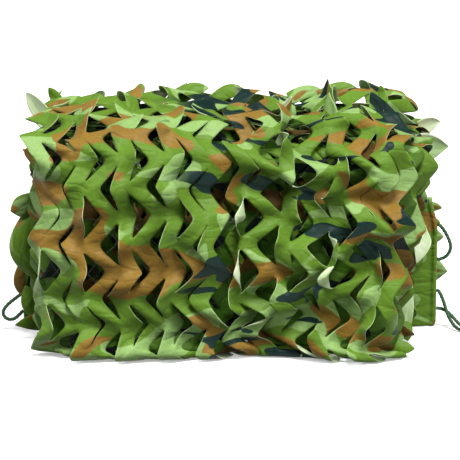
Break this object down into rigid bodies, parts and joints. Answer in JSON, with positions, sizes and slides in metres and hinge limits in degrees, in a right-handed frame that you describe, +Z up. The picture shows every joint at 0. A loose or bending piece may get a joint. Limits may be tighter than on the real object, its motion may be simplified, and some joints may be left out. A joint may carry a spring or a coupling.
{
  "type": "camouflage net",
  "caption": "Leaf-cut camouflage cloth folded in upright layers and wrapped round itself into a bundle, with cord loops at its hems.",
  "frame": {"origin": "on the floor, under the middle of the folded net's box, the free cords left out", "axes": "+X along the bundle's length, +Z up, -Y towards the front"},
  "size_m": [0.6561, 0.3512, 0.3225],
  "materials": {
    "camouflage_cloth": "printed woven polyester, matt, with a slight sheen",
    "edge_cord": "braided dark green cord, matt"
  },
  "bodies": {
    "root": {"net": "camouflage_cloth", "cord_loop_left": "edge_cord", "cord_loop_right": "edge_cord", "cord_tail_right": "edge_cord"}
  },
  "joints": []
}
